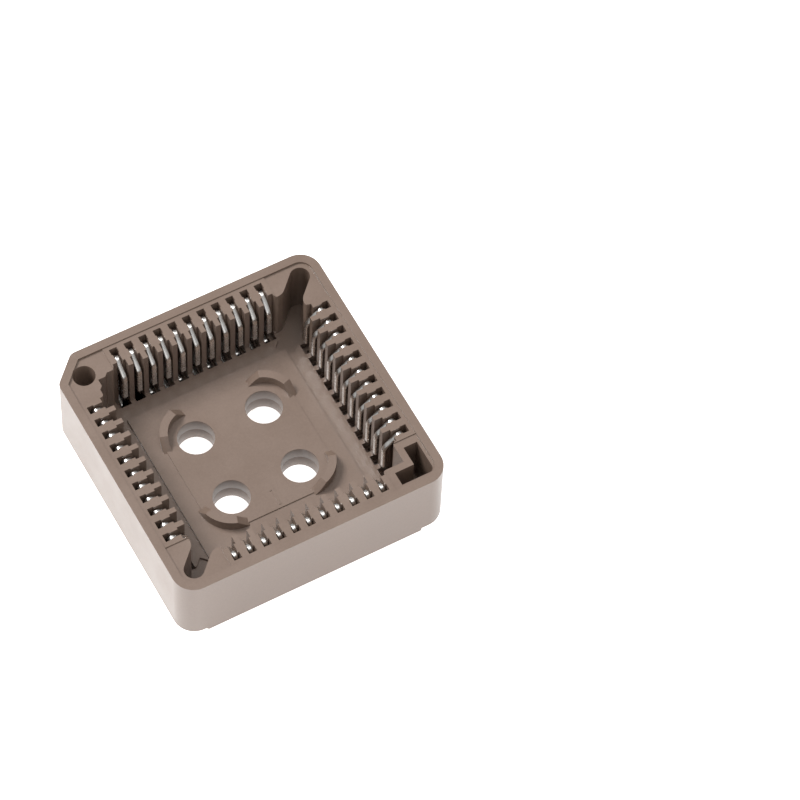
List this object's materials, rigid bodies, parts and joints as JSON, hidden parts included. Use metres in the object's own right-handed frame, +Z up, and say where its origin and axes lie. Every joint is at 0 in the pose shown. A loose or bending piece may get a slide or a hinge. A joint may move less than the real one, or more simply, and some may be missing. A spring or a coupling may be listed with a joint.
{
  "type": "through-hole chip carrier socket",
  "caption": "Square through-hole board socket for a leaded chip carrier: a moulded housing on a pegged base plate, with rows of plated spring contacts round the chip cavity.",
  "frame": {"origin": "centre of the board seating plane, which the four peg ends touch", "axes": "+Z up, from the board towards the open top; -X and +Y meet at the chamfered index corner; contact 1 is in the middle of the +Y row, and the count runs anticlockwise seen from above"},
  "size_m": [0.0232, 0.0232, 0.0112],
  "materials": {
    "moulding": "warm grey-brown glass-filled moulding, fine matte grain",
    "contact_metal": "copper alloy strip plated with bright tin"
  },
  "bodies": {
    "root": {"housing": "moulding", "base_plate": "moulding", "contact_01": "contact_metal", "contact_02": "contact_metal", "contact_03": "contact_metal", "contact_04": "contact_metal", "contact_05": "contact_metal", "contact_06": "contact_metal", "contact_07": "contact_metal", "contact_08": "contact_metal", "contact_09": "contact_metal", "contact_10": "contact_metal", "contact_11": "contact_metal", "contact_12": "contact_metal", "contact_13": "contact_metal", "contact_14": "contact_metal", "contact_15": "contact_metal", "contact_16": "contact_metal", "contact_17": "contact_metal", "contact_18": "contact_metal", "contact_19": "contact_metal", "contact_20": "contact_metal", "contact_21": "contact_metal", "contact_22": "contact_metal", "contact_23": "contact_metal", "contact_24": "contact_metal", "contact_25": "contact_metal", "contact_26": "contact_metal", "contact_27": "contact_metal", "contact_28": "contact_metal", "contact_29": "contact_metal", "contact_30": "contact_metal", "contact_31": "contact_metal", "contact_32": "contact_metal", "contact_33": "contact_metal", "contact_34": "contact_metal", "contact_35": "contact_metal", "contact_36": "contact_metal", "contact_37": "contact_metal", "contact_38": "contact_metal", "contact_39": "contact_metal", "contact_40": "contact_metal", "contact_41": "contact_metal", "contact_42": "contact_metal", "contact_43": "contact_metal", "contact_44": "contact_metal"}
  },
  "joints": []
}
